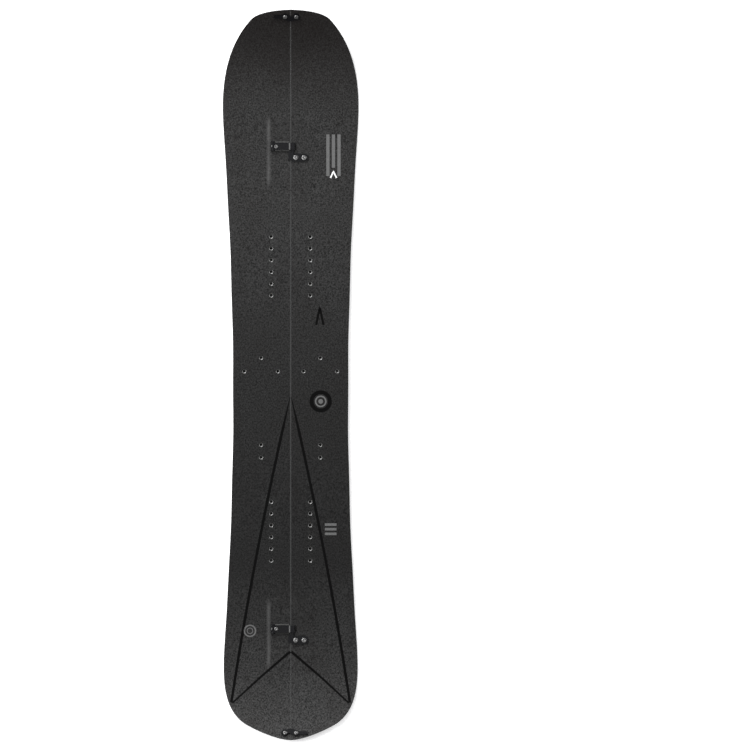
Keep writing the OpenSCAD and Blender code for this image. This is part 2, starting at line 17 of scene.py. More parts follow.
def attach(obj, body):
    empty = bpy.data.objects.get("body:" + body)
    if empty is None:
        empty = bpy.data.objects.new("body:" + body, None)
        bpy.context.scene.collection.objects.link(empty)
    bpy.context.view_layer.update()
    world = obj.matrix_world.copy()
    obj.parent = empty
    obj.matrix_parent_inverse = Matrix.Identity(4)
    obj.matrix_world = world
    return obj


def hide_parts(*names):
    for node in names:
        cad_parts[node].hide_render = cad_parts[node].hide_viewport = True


MM = 0.001  # a millimetre in Blender's metres
LEFT, RIGHT = -1, 1
SIDES = {"left": LEFT, "right": RIGHT}
NOSE, TAIL = 1, -1

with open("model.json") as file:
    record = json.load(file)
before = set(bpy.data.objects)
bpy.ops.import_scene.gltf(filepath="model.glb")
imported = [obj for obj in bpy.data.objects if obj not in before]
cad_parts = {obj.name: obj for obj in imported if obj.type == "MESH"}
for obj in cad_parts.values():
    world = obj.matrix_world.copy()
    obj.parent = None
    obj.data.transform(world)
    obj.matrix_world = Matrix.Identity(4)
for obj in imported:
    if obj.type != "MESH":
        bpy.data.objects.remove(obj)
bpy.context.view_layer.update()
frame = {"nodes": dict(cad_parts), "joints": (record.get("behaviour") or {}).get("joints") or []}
for spare in ("Cube", "Light", "Camera"):
    if spare in bpy.data.objects:
        bpy.data.objects.remove(bpy.data.objects[spare])

# ---- Measures, in millimetres, as the CAD has them ----

HALF_L = 788.5
NOSE_HALF_W, TAIL_HALF_W, WAIST_HALF_W = 147.0, 145.0, 124.5
WAIST_Y = -50.0
NOSE_REACH, TAIL_REACH = 207.0, 157.0
RIPPLE_H, RIPPLE_PITCH, RIPPLE_Y = 0.4, 200.0, -29.0
NOSE_FLANK = ((1, 0), (1, 0.515), (0.75, 0.77), (0.58, 0.9))
NOSE_END = ((0.58, 0.9), (0.447, 1), (0, 1), (0, 1))
TAIL_FLANK = ((1, 0), (1, 0.32), (0.95, 0.6), (0.695, 0.77))
TAIL_END = ((0.695, 0.77), (0.634, 0.81), (0.24, 1), (0, 1))
SEAM_X = 0.15
EDGE_W = 2.0
OUTER_WALL_W, INNER_WALL_W = 7.0, 5.0
TOPSHEET_T, TOPSHEET_INSET = 0.6, 0.5
CORE_Y0, CORE_Y1 = -698.5, 678.5
CLIP_YS = (482.0, -561.0)
PAD_REACH, SEAT_REACH, PAD_RAMP = 78.0, 30.5, 6.0
FRONT_FOOT_Y, REAR_FOOT_Y = 235.5, -337.5
INSERT_X, INSERT_PITCH = 42.15, 25.4
TOURING_PLACES = ((64, 37), (27.7, 8), (100.3, 8), (64, -151), (64, -178.2))
TIP_BOLT_X = 12.0
CLIP_STAGGER = 12.3
LEVER_SCREW_XS, HOOK_SCREW_XS = (-31.0, -14.0), (11.1, 29.2)
CLIP_SCREW_D, CLIP_SCREW_L = 5.0, 4.4
LEVER_FLOOR_T, HOOK_PLATE_T = 2.0, 3.2
TIP_BOSS_H, TIP_BOLT_D, TIP_BOLT_L = 4.1, 4.0, 4.6

# ---- The side profile, read from the CAD's layers ----

ON_PLANE = 0.02  # how near a plane a CAD corner counts as on it
THIN = 0.3  # a layer's wall is thicker than this
GRID_STEP = 0.5
PROFILE_EASE, PAD_EASE = 12, 7  # how far each way the levels and the pads are averaged


def heights(node, x):
    """(y, lowest z, highest z) in mm wherever the node has a whole wall on the plane at x."""
    found = {}
    for v in frame["nodes"][node].data.vertices:
        if abs(v.co.x / MM - x) < ON_PLANE:
            found.setdefault(round(v.co.y / MM, 2), []).append(v.co.z / MM)
    return sorted((y, min(zs), max(zs)) for y, zs in found.items() if max(zs) - min(zs) > THIN)


GRID = numpy.arange(-800.0, 800.0 + GRID_STEP, GRID_STEP)


def sampled(rows, index):
    """One height of rows on the grid, carried on straight past both ends."""
    ys = numpy.array([r[0] for r in rows])
    zs = numpy.array([r[index] for r in rows])
    out = numpy.interp(GRID, ys, zs)
    low, high = GRID < ys[0], GRID > ys[-1]
    out[low] = zs[0] + (GRID[low] - ys[0]) * (zs[1] - zs[0]) / (ys[1] - ys[0])
    out[high] = zs[-1] + (GRID[high] - ys[-1]) * (zs[-1] - zs[-2]) / (ys[-1] - ys[-2])
    return out


def eased(values, reach):
    """A moving average that reaches this many mm each way."""
    n = int(reach / GRID_STEP)
    wide = numpy.concatenate([
        values[0] + (values[1] - values[0]) * numpy.arange(-n, 0), values,
        values[-1] + (values[-1] - values[-2]) * numpy.arange(1, n + 1)])
    return numpy.convolve(wide, numpy.ones(2 * n + 1) / (2 * n + 1), "valid")


edge_rows = heights("right_inner_edge", SEAM_X)
base_rows = heights("right_base", SEAM_X + EDGE_W)
glass_rows = heights("right_top_laminate", SEAM_X)
sheet_rows = heights("right_topsheet", SEAM_X)
glass_top = sampled(glass_rows, 2)
slope = numpy.gradient(glass_top, GRID)
sheet_top = glass_top + TOPSHEET_T * numpy.sqrt(1 + slope * slope)
pad_raise = sampled(sheet_rows, 2) - sheet_top
pad_raise[pad_raise < 0.05] = 0
LEVELS = [eased(v, PROFILE_EASE) for v in (
    sampled(edge_rows, 1), sampled(base_rows, 2), sampled(edge_rows, 2), sampled(glass_rows, 1),
    glass_top, sheet_top)]
BASE_LOW, BASE_TOP, CORE_LOW, CORE_TOP, GLASS_TOP, SHEET_TOP = range(6)
PAD_RAISE = eased(pad_raise, PAD_EASE)
PAD_SOFT_IN, PAD_SOFT_OUT = 43.0, 53.0


def level(n, y):
    """Height of a level at y, on the seam and away from the pads."""
    return float(numpy.interp(y, GRID, LEVELS[n]))


def smooth_step(t):
    t = min(1.0, max(0.0, t))
    return t * t * (3 - 2 * t)


def pad_at(x, y):
    """How far the pad lifts the topsheet: it falls off softly at its outer side."""
    return float(numpy.interp(y, GRID, PAD_RAISE)) * (
        1 - smooth_step((abs(x) - PAD_SOFT_IN) / (PAD_SOFT_OUT - PAD_SOFT_IN)))


def top_z(x, y):
    return level(SHEET_TOP, y) + pad_at(x, y)


# ---- The outline ----

def bezier(points, t):
    weights = ((1 - t) ** 3, 3 * (1 - t) ** 2 * t, 3 * (1 - t) * t * t, t ** 3)
    return [sum(w * p[k] for w, p in zip(weights, points)) for k in (0, 1)]


TIP_STEPS = 22
SIDE_STEPS = 136


def tip_points(shares, half_w, reach, end):
    """Points along a tip's curve, from shares of its half width and its reach."""
    points = [bezier(shares, i / TIP_STEPS) for i in range(TIP_STEPS + 1)]
    return [(x * half_w, end * (HALF_L - reach * (1 - r))) for x, r in points]


def side_x(y):
    """Half width at y: a parabola from the waist that flattens where it meets the tip, and the ripple."""
    half_w, wide_y = (NOSE_HALF_W, HALF_L - NOSE_REACH) if y > WAIST_Y else (TAIL_HALF_W, TAIL_REACH - HALF_L)
    t = (y - WAIST_Y) / (wide_y - WAIST_Y)
    ripple = RIPPLE_H * math.cos(2 * math.pi * (y - RIPPLE_Y) / RIPPLE_PITCH) * (1 - t ** 4)
    return WAIST_HALF_W + (half_w - WAIST_HALF_W) * t * t * (1.125 - 0.125 * t ** 16) + ripple


def side_ys():
    """Rows down the side, about 9 mm apart."""
    high, low = HALF_L - NOSE_REACH, TAIL_REACH - HALF_L
    ys = [low + (high - low) * i / SIDE_STEPS for i in range(1, SIDE_STEPS)]
    return sorted(ys, reverse=True)


def pad_ys():
    """Close rows where the pads and their seats begin and end."""
    return [c + end * at + step for c in CLIP_YS for end in (-1, 1)
            for at in (PAD_REACH, PAD_REACH - PAD_RAMP, SEAT_REACH + PAD_RAMP, SEAT_REACH)
            for step in (-1.5, -0.5, 0.5, 1.5)]


RIM = (
    tip_points(NOSE_END, NOSE_HALF_W, NOSE_REACH, NOSE)[::-1]
    + tip_points(NOSE_FLANK, NOSE_HALF_W, NOSE_REACH, NOSE)[-2::-1]
    + [(side_x(y), y) for y in side_ys()]
    + tip_points(TAIL_FLANK, TAIL_HALF_W, TAIL_REACH, TAIL)
    + tip_points(TAIL_END, TAIL_HALF_W, TAIL_REACH, TAIL)[1:]
)
ROW_GAP = 0.4  # rows stay at least this far apart


def rim_normals(rim):
    """The outward direction at each point of the rim, which goes on mirrored past both tips."""
    out = []
    for i, (x, y) in enumerate(rim):
        before = rim[i - 1] if i else (-rim[1][0], rim[1][1])
        after = rim[i + 1] if i + 1 < len(rim) else (-rim[i - 1][0], rim[i - 1][1])
        dx, dy = after[0] - before[0], after[1] - before[1]
        size = math.hypot(dx, dy)
        out.append((-dy / size, dx / size))
    return out


def with_rows(rows, extra_ys):
    """The rows with one more at each extra y that none is near."""
    out = list(rows)
    for y in extra_ys:
        n = next(n for n in range(len(out) - 1) if out[n][1] >= y > out[n + 1][1])
        a, b = out[n], out[n + 1]
        if a[1] - y > ROW_GAP and y - b[1] > ROW_GAP:
            t = (a[1] - y) / (a[1] - b[1])
            out.insert(n + 1, tuple(p + (q - p) * t for p, q in zip(a, b)))
    return out


ROWS = [(x, y, nx, ny) for (x, y), (nx, ny) in zip(RIM, rim_normals(RIM))]
ROWS = with_rows(ROWS, [CORE_Y0, CORE_Y1] + pad_ys())


def rows_between(y0, y1):
    return [r for r in ROWS if y0 - ROW_GAP < r[1] < y1 + ROW_GAP]


# ---- Mesh helpers ----

SAME_PLACE = 1e-7  # metres
SHARP = 30  # degrees over which an edge stays sharp
LOBE_DEPTH = 0.13  # share of a key recess's radius


def apply_modifiers(obj):
    mesh = bpy.data.meshes.new_from_object(obj.evaluated_get(bpy.context.evaluated_depsgraph_get()))
    obj.modifiers.clear()
    obj.data = mesh


def even_shading(obj, sharp):
    """Smooth shading that keeps flat faces flat beside narrow bevels."""
    obj.data.shade_smooth()
    obj.data.set_sharp_from_angle(angle=math.radians(sharp))
    weighting = obj.modifiers.new("shading", "WEIGHTED_NORMAL")
    weighting.keep_sharp = True
    apply_modifiers(obj)


def new_object(name, bm, material, sharp=SHARP):
    """Turns a bmesh into a shaded object. Edges over sharp degrees stay sharp."""
    bmesh.ops.remove_doubles(bm, verts=bm.verts, dist=SAME_PLACE)
    bmesh.ops.dissolve_degenerate(bm, edges=bm.edges, dist=SAME_PLACE)
    bmesh.ops.recalc_face_normals(bm, faces=bm.faces)
    mesh = bpy.data.meshes.new(name)
    bm.to_mesh(mesh)
    bm.free()
    mesh.materials.append(material)
    obj = bpy.data.objects.new(name, mesh)
    bpy.context.scene.collection.objects.link(obj)
    even_shading(obj, sharp)
    return obj


def add_rings(bm, rings, close_ends=True):
    """Joins rings of equally many points into a closed skin."""
    loops = [[bm.verts.new(p) for p in ring] for ring in rings]
    n = len(loops[0])
    for a, b in zip(loops, loops[1:]):
        for k in range(n):
            bm.faces.new((a[k], a[(k + 1) % n], b[(k + 1) % n], b[k]))
    if close_ends:
        bm.faces.new(loops[0][::-1])
        bm.faces.new(loops[-1])


def add_lathe(bm, matrix, profile, around=32, lobes=()):
    """Turns (radius, z) pairs in mm about the frame's Z. lobes are the rings that are six-lobed."""
    rings = []
    for n, (radius, z) in enumerate(profile):
        ring = []
        for k in range(around):
            a = 2 * math.pi * k / around
            r = radius * (1 + LOBE_DEPTH * math.cos(6 * a)) if n in lobes else radius
            ring.append(matrix @ Vector((r * math.cos(a), r * math.sin(a), z)) * MM)
        rings.append(ring)
    add_rings(bm, rings)


def seam_column(offset, z_of, inset=0.0):
    """A column of points offset from the seam plane, and from the tips by inset."""
    def place(row, side):
        y = row[1] - inset * row[3]
        return (side * (SEAM_X + offset), y, z_of(SEAM_X + offset, y))
    return place


NARROW = 60.0  # half width below which inner columns close in on the seam


def inner_column(x, z_of, inset=0.0):
    """A column at a fixed x, drawn towards the seam where the board is narrow."""
    def place(row, side):
        y = row[1] - inset * row[3]
        at = SEAM_X + (x - SEAM_X) * min(1.0, max(0.0, (row[0] - SEAM_X) / NARROW))
        return (side * at, y, z_of(x, y))
    return place


def rim_column(inset, z_of, start=SEAM_X):
    """A column of points inset from the rim."""
    def place(row, side):
        x, y = row[0] - inset * row[2], row[1] - inset * row[3]
        return (side * max(x, start), y, z_of(x, y))
    return place


def at_level(n, lift=0.0):
    return lambda x, y: level(n, y) + lift


def loft(name, side, columns, material, rows=ROWS):
    """A closed skin with one ring per row. Each ring has a point from every column."""
    bm = bmesh.new()
    add_rings(bm, [[Vector(column(row, side)) * MM for column in columns] for row in rows])
    return new_object(name, bm, material)


def carve(obj, holes):
    """Cuts every (matrix, radius, z0, z1) cylinder out of the piece."""
    bm = bmesh.new()
    for matrix, radius, z0, z1 in holes:
        add_lathe(bm, matrix, ((radius, z0), (radius, z1)), 40)
    tool = new_object("hole_tool", bm, obj.data.materials[0])
    cut = obj.modifiers.new("holes", "BOOLEAN")
    cut.operation = "DIFFERENCE"
    cut.solver = "EXACT"
    cut.object = tool
    apply_modifiers(obj)
    even_shading(obj, SHARP)
    bpy.data.objects.remove(tool)


def settle(obj, body, slot, *nodes):
    """Hangs a piece on its body and puts it in place of the CAD nodes, which it hides."""
    if nodes:
        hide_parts(*nodes)
    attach(obj, body)
    return obj


# ---- Materials ----

def linear(r, g, b):
    """An sRGB colour, 0 to 255, as Blender's linear one."""
    shares = [c / 255 for c in (r, g, b)]
    return tuple(s / 12.92 if s < 0.04045 else ((s + 0.055) / 1.055) ** 2.4 for s in shares) + (1.0,)


class Finish:
    """A procedural material, built node by node round one Principled shader."""

    def __init__(self, name, colour, roughness, metallic=0.0, specular=0.5, **sockets):
        self.material = bpy.data.materials.new(name)
        self.material.use_nodes = True
        self.tree = self.material.node_tree
        self.shader = self.tree.nodes["Principled BSDF"]
        self.shader.inputs["Base Color"].default_value = colour
        self.shader.inputs["Roughness"].default_value = roughness
        self.shader.inputs["Metallic"].default_value = metallic
        self.shader.inputs["Specular IOR Level"].default_value = specular
        for socket, value in sockets.items():
            self.shader.inputs[socket.replace("_", " ")].default_value = value
        self.coords = self.tree.nodes.new("ShaderNodeTexCoord").outputs["Object"]

    def node(self, kind, inputs=(), **settings):
        made = self.tree.nodes.new("ShaderNode" + kind)
        for key, value in settings.items():
            setattr(made, key, value)
        for key, value in dict(inputs).items():
            if isinstance(value, bpy.types.NodeSocket):
                self.tree.links.new(value, made.inputs[key])
            else:
                made.inputs[key].default_value = value
        return made

    def stretched(self, x, y, z):
        """Coordinates whose unit is x, y, z millimetres."""
        scale = (1 / MM / x, 1 / MM / y, 1 / MM / z)
        return self.node("Mapping", {"Vector": self.coords, "Scale": scale}).outputs["Vector"]

    def noise(self, size, detail=3.0, rough=0.6, distortion=0.0):
        where = self.stretched(*size)
        return self.node("TexNoise", {"Vector": where, "Scale": 1.0, "Detail": detail, "Roughness": rough,
                                      "Distortion": distortion}).outputs["Fac"]

    def ramp(self, factor, low, high, a=0.0, b=1.0):
        """Maps factor from low..high to the colours a..b, or to the numbers a..b."""
        if isinstance(a, tuple):
            made = self.node("ValToRGB", {"Fac": factor})
            made.color_ramp.elements[0].position, made.color_ramp.elements[0].color = low, a
            made.color_ramp.elements[1].position, made.color_ramp.elements[1].color = high, b
            return made.outputs["Color"]
        limits = {"From Min": low, "From Max": high, "To Min": a, "To Max": b}
        return self.node("MapRange", {"Value": factor, **limits}).outputs["Result"]

    def along_y(self):
        """The share of the board's length from tail to nose."""
        y = self.node("SeparateXYZ", {"Vector": self.coords}).outputs["Y"]
        return self.ramp(y, -HALF_L * MM, HALF_L * MM, 0.0, 1.0)

    def stops(self, factor, greys):
        """Greys, 0 to 255, at several places of factor."""
        made = self.node("ValToRGB", {"Fac": factor})
        elements = made.color_ramp.elements
        for n, (place, grey) in enumerate(greys):
            element = elements[n] if n < 2 else elements.new(place)
            element.position, element.color = place, linear(grey, grey, grey)
        return made.outputs["Color"]

    def math(self, operation, a, b=0.0):
        return self.node("Math", {0: a, 1: b}, operation=operation).outputs[0]

    def mix(self, factor, a, b, blend="MIX"):
        made = self.node("Mix", {0: factor, 6: a, 7: b}, data_type="RGBA", blend_type=blend)
        return made.outputs[2]

    def colour(self, socket):
        self.tree.links.new(socket, self.shader.inputs["Base Color"])
        return self

    def roughness(self, socket):
        self.tree.links.new(socket, self.shader.inputs["Roughness"])
        return self

    def bump(self, height, distance, strength=1.0):
        made = self.node("Bump", {"Height": height, "Distance": distance * MM, "Strength": strength})
        self.tree.links.new(made.outputs["Normal"], self.shader.inputs["Normal"])
        return self


# how light the felt is at shares of the length from the tail: partly a printed fade, partly painted light and
# shade of the bent tips and the middle
TOPSHEET_FADE_AND_PAINTED_SHADE = ((0.0, 245), (0.1, 205), (0.24, 141), (0.5, 158), (0.74, 202), (0.87, 191), (0.96, 160))


def topsheet_finish():
    """Charcoal felt under a satin coat, browner at the nose, with a painted sheen that lightens the left
    pads' outer slope and painted light and shade along its length.
    """
    f = Finish("charcoal_felt_topsheet", linear(42, 42, 42), 0.56, specular=0.12)
    fibres = f.noise((0.8, 3.2, 2.0), 4, 0.7, 0.6)
    flecks = f.noise((2.9, 3.4, 3.0), 3, 0.75)
    fine = f.noise((0.45, 0.6, 0.5), 2, 0.6)
    clouds = f.noise((70, 140, 90), 3, 0.5)
    mottled = f.math("ADD", f.math("MULTIPLY", fibres, 0.4), f.math("MULTIPLY", flecks, 0.6))
    charcoal = f.ramp(mottled, 0.41, 0.59, linear(0, 0, 0), linear(84, 84, 84))
    charcoal = f.mix(f.ramp(fine, 0.58, 0.72, 0.0, 0.45), charcoal, linear(92, 92, 91))
    charcoal = f.mix(f.ramp(clouds, 0.35, 0.65, 0.0, 0.2), charcoal, linear(36, 31, 29))
    charcoal = f.mix(f.ramp(f.along_y(), 0.86, 0.97, 0.0, 0.45), charcoal, linear(46, 38, 36))
    # painted light and shade along the length, partly a printed fade, multiplied into the felt
    fade_and_painted_shade = f.stops(f.along_y(), TOPSHEET_FADE_AND_PAINTED_SHADE)
    charcoal = f.mix(1.0, charcoal, fade_and_painted_shade, "MULTIPLY")
    x, y = (f.node("SeparateXYZ", {"Vector": f.coords}).outputs[axis] for axis in "XY")
    # painted sheen: the left pads' outer slope near the clips made lighter in colour, as a glint of light
    # would; cloudy noise breaks it up
    band = f.math("MULTIPLY", f.ramp(x, -53.5 * MM, -48 * MM, 0.0, 1.0),
                  f.ramp(x, -47.5 * MM, -41.5 * MM, 1.0, 0.0))
    from_clips = [f.math("ABSOLUTE", f.math("SUBTRACT", y, c * MM)) for c in CLIP_YS]
    near = [f.ramp(away, 58 * MM, 80 * MM, 1.0, 0.0) for away in from_clips]
    painted_sheen_mask = f.math("MULTIPLY", band, f.math("ADD", *near))
    painted_sheen = f.math("MULTIPLY", painted_sheen_mask, f.ramp(clouds, 0.3, 0.7, 0.28, 0.5))
    f.colour(f.mix(painted_sheen, charcoal, linear(96, 96, 96)))
    f.roughness(f.ramp(mottled, 0.3, 0.7, 0.5, 0.62))
    return f.bump(f.math("ADD", mottled, f.math("MULTIPLY", fine, 0.4)), 0.03, 0.4).material


def base_finish():
    """Sintered base with a structure ground along the board and uneven wax."""
    f = Finish("black_sintered_base", linear(10, 10, 11), 0.2, specular=0.4)
    grind = f.noise((0.7, 26, 8), 4, 0.65)
    wax = f.noise((60, 110, 60), 2, 0.5)
    f.colour(f.ramp(grind, 0.3, 0.7, linear(7, 7, 8), linear(15, 15, 16)))
    f.roughness(f.math("ADD", f.ramp(grind, 0.3, 0.7, 0.1, 0.18), f.ramp(wax, 0.3, 0.7, 0.0, 0.08)))
    return f.bump(grind, 0.02, 0.35).material


def steel_finish(name, tone, rough, along, distance=0.02, stained=0.35):
    """Bare metal with fine marks that run the way that along, a size in mm, is longest."""
    f = Finish(name, linear(tone, tone, tone), rough, 1.0)
    marks = f.noise(along, 4, 0.7)
    stains = f.noise((9, 14, 9), 3, 0.6)
    dull, bright = linear(tone - 16, tone - 16, tone - 15), linear(tone + 10, tone + 10, tone + 9)
    turned = f.ramp(marks, 0.25, 0.75, dull, bright)
    f.colour(f.mix(f.ramp(stains, 0.4, 0.75, 0.0, stained), turned, linear(tone - 45, tone - 48, tone - 50)))
    f.roughness(f.ramp(marks, 0.25, 0.75, rough - 0.05, rough + 0.07))
    return f.bump(marks, distance, 0.5).material


def black_metal_finish():
    """Anodised alloy, a little rubbed in patches."""
    f = Finish("black_anodised_alloy", linear(9, 9, 12), 0.42, 0.12, specular=0.22)
    grain = f.noise((0.3, 0.3, 0.3), 2, 0.5)
    rubs = f.noise((3.0, 3.0, 3.0), 4, 0.7)
    f.colour(f.mix(f.ramp(rubs, 0.56, 0.78, 0.0, 0.5), linear(6, 6, 10), linear(28, 28, 32)))
    f.roughness(f.ramp(rubs, 0.3, 0.7, 0.36, 0.5))
    return f.bump(grain, 0.012, 0.6).material


def bore_finish():
    """The oxide-black inside of a threaded bore."""
    f = Finish("blackened_thread", linear(24, 24, 24), 0.6, 0.6, specular=0.3)
    oil = f.noise((0.6, 0.6, 0.6), 3, 0.6)
    f.colour(f.ramp(oil, 0.3, 0.7, linear(12, 12, 12), linear(32, 31, 30)))
    return f.bump(oil, 0.01, 0.5).material


def plastic_finish(name, tone, rough, along):
    """Plastic or rubber with milling marks of the size along, in mm."""
    f = Finish(name, linear(tone, tone, tone + 1), rough, specular=0.4)
    marks = f.noise(along, 3, 0.6)
    low, high = tone - 5, tone + 8
    f.colour(f.ramp(marks, 0.3, 0.7, linear(low, low, low), linear(high, high, high)))
    f.roughness(f.ramp(marks, 0.3, 0.7, rough - 0.06, rough + 0.08))
    return f.bump(marks, 0.03, 0.5).material


def glass_finish():
    """Woven glass in yellowish resin."""
    f = Finish("glass_laminate_weave", linear(110, 112, 78), 0.3, specular=0.5)
    warp = f.node("TexWave", {"Vector": f.stretched(1.0, 1.0, 1.0), "Scale": 0.9, "Distortion": 0.4},
                  bands_direction="DIAGONAL").outputs["Fac"]
    weave = f.ramp(warp, 0.2, 0.8, linear(82, 84, 52), linear(132, 134, 98))
    resin = f.noise((4, 9, 2), 3, 0.6)
    f.colour(f.mix(f.ramp(resin, 0.3, 0.7, 0.2, 0.7), weave, linear(74, 72, 44)))
    return f.bump(warp, 0.03, 0.5).material


def wood_finish():
    """Glued strips of poplar that run along the board."""
    f = Finish("poplar_core_strips", linear(205, 172, 120), 0.6)
    grain = f.noise((1.3, 38, 1.5), 5, 0.65, 0.4)
    strips = f.node("TexWave", {"Vector": f.stretched(9.0, 1e6, 1e6), "Scale": 0.32},
                    wave_profile="SAW").outputs["Fac"]
    wood = f.ramp(grain, 0.3, 0.72, linear(168, 128, 80), linear(221, 192, 143))
    f.colour(f.mix(f.ramp(strips, 0.9, 1.0, 0.0, 0.7), wood, linear(120, 86, 52)))
    return f.bump(grain, 0.05, 0.5).material


def ink_finish(name, tone, rough=0.62, specular=0.12):
    """Screen-printed ink, thin enough for the topsheet's grain to show."""
    f = Finish(name, linear(tone, tone, tone), rough, specular=specular)
    grain = f.noise((1.1, 2.2, 2.0), 3, 0.7)
    low, high = max(2, tone - 2 - tone // 14), tone + 2 + tone // 14
    f.colour(f.ramp(grain, 0.36, 0.64, linear(low, low, low), linear(high, high, high)))
    return f.bump(grain, 0.03, 0.4).material


TOPSHEET = topsheet_finish()
BASE = base_finish()
EDGE = steel_finish("ground_edge_steel", 176, 0.3, (0.8, 18, 3))
INSERT = steel_finish("stainless_insert", 122, 0.42, (0.5, 0.5, 4), 0.006, 0.2)
BORE = bore_finish()
SCREW = steel_finish("turned_screw_steel", 124, 0.34, (0.5, 0.5, 2), 0.004, 0.15)
ALLOY = steel_finish("worn_rib_alloy", 112, 0.48, (0.35, 0.35, 0.35), 0.02, 0.1)
BLACK_METAL = black_metal_finish()
RUBBED_METAL = steel_finish("rubbed_black_alloy", 94, 0.4, (0.4, 0.4, 0.4), 0.02, 0.2)
SIDEWALL = plastic_finish("black_sidewall", 30, 0.45, (1.4, 22, 1.2))
SPACER = plastic_finish("black_tip_spacer", 34, 0.4, (5, 5, 2))
FILLER = plastic_finish("pad_filler_rubber", 40, 0.7, (1.5, 1.5, 1.5))
GLASS = glass_finish()
WOOD = wood_finish()
# a lighter ink along the seam: a painted highlight of the topsheet's rounded seam edges
SEAM_HIGHLIGHT_INK = ink_finish("painted_seam_highlight", 68, 0.5, 0.2)
BLACK_INK = ink_finish("black_ink", 7, 0.7, 0.06)
GREY_INK = ink_finish("grey_ink", 98)
PALE_INK = ink_finish("pale_ink", 235)

FINISHES = {
    "topsheet": TOPSHEET, "glass_laminate": GLASS, "core_wood": WOOD, "tip_spacer": SPACER,
    "sidewall": SIDEWALL, "running_base": BASE, "edge_steel": EDGE, "pad_filler": FILLER,
    "insert_steel": INSERT, "black_anodised": BLACK_METAL, "screw_steel": SCREW,
}
for node in frame["nodes"].values():
    for material_slot in node.material_slots:
        material_slot.material = FINISHES[material_slot.material.name.split(".")[0]]


# ---- Frames of the clips and latches, from the joints ----

def hinge(name):
    """A joint's place, in mm, and its axis."""
    joint = next(j for j in frame["joints"] if j["name"] == name)
    return Vector(joint["pos_m"]) / MM, Vector(joint["axis"]).normalized()


def basis(x_axis, z_axis, origin):
    y_axis = z_axis.cross(x_axis).normalized()
    turn = Matrix((x_axis, y_axis, z_axis)).transposed().to_4x4()
    return Matrix.Translation(origin) @ turn


PIN_X, PIN_Z = -39.5, 5.6


def clip_frame(joint):
    """A clip's own frame: origin on its seat at the seam, in mm, with the lever's pin at PIN_X, PIN_Z."""
    pin, axis = hinge(joint)
    forward = -axis
    up = Vector((1, 0, 0)).cross(forward).normalized()
    return basis(Vector((1, 0, 0)), up, pin - Vector((PIN_X, 0, 0)) - forward * CLIP_STAGGER - up * PIN_Z)


def tip_frame(joint, end):
    """A tip latch's own frame: origin on the topsheet at the seam, its X towards the catch."""
    bolt, axis = hinge(joint)
    across = Vector((end, 0, 0))
    return basis(across, -axis, bolt + across * TIP_BOLT_X)


CLIPS = {"front": clip_frame("front_lever_lift"), "rear": clip_frame("rear_lever_lift")}
TIPS = {"nose": tip_frame("nose_latch_turn", NOSE), "tail": tip_frame("tail_latch_turn", TAIL)}


# ---- Layers ----

FOOT_YS = (FRONT_FOOT_Y, REAR_FOOT_Y)
BINDING_PLACES = [(INSERT_X, foot + (n - 2.5) * INSERT_PITCH) for foot in FOOT_YS for n in range(6)]
INSERT_PLACES = {"binding": BINDING_PLACES, "touring": list(TOURING_PLACES)}
INSERT_R = 4.5
INSERT_HOLE_R = INSERT_R + 0.08
TIP_NUT_HOLE_R = 4.36
ROUND = 0.22  # the topsheet's rounded rim
ROUND_MID = 0.06
SEAM_REACH = 0.14  # how far the sidewalls and spacers stand into the gap, so that no light shines through


def insert_matrix(side, x, y):
    return Matrix.Translation((side * x, y, level(SHEET_TOP, y)))


def insert_holes(side):
    places = INSERT_PLACES["binding"] + INSERT_PLACES["touring"]
    return [(insert_matrix(side, x, y), INSERT_HOLE_R, -3, 3) for x, y in places]


def tip_bolt_matrices(side):
    """Frames of the two tip bolts of a half."""
    ends = (("nose", NOSE), ("tail", TAIL))
    return [TIPS[tip] @ Matrix.Translation((side * end * TIP_BOLT_X, 0, 0)) for tip, end in ends]


def seam_lip(drop):
    """The topsheet's top along the seam, lowered by drop where its edge is rounded."""
    return lambda x, y: top_z(0, y) - drop


def under_sheet(x, y):
    return level(GLASS_TOP, y) + pad_at(x, y)


def topsheet(side, word):
    soft = [PAD_SOFT_IN + (PAD_SOFT_OUT - PAD_SOFT_IN) * k / 6 for k in range(7)]
    edge = TOPSHEET_INSET
    columns = [seam_column(0, at_level(GLASS_TOP), edge), seam_column(0, seam_lip(0.2), edge),
               seam_column(0.07, seam_lip(0.06), edge + ROUND_MID), seam_column(ROUND, top_z, edge + ROUND)]
    columns += [inner_column(x, top_z, edge + ROUND) for x in [20.0] + soft]
    columns += [rim_column(edge + ROUND, at_level(SHEET_TOP)),
                rim_column(edge + ROUND_MID, at_level(SHEET_TOP, -0.07)),
                rim_column(edge, at_level(SHEET_TOP, -ROUND)), rim_column(edge, at_level(GLASS_TOP))]
    columns += [inner_column(x, under_sheet, edge) for x in soft[::-1]]
    columns += [inner_column(SEAM_X + TOPSHEET_T + 0.01, under_sheet, edge),
                seam_column(TOPSHEET_T, at_level(GLASS_TOP), edge)]
    sheet = loft(word + "_topsheet_skin", side, columns, TOPSHEET)
    carve(sheet, insert_holes(side))
    settle(sheet, word + "_half", "topsheet", word + "_topsheet")


def top_laminate(side, word):
    edge = TOPSHEET_INSET
    columns = [seam_column(0, at_level(CORE_TOP), edge), seam_column(0, at_level(GLASS_TOP), edge),
               rim_column(edge, at_level(GLASS_TOP)), rim_column(edge, at_level(CORE_TOP))]
    glass = loft(word + "_top_laminate_skin", side, columns, GLASS)
    carve(glass, insert_holes(side))
    settle(glass, word + "_half", "glass_laminate", word + "_top_laminate")


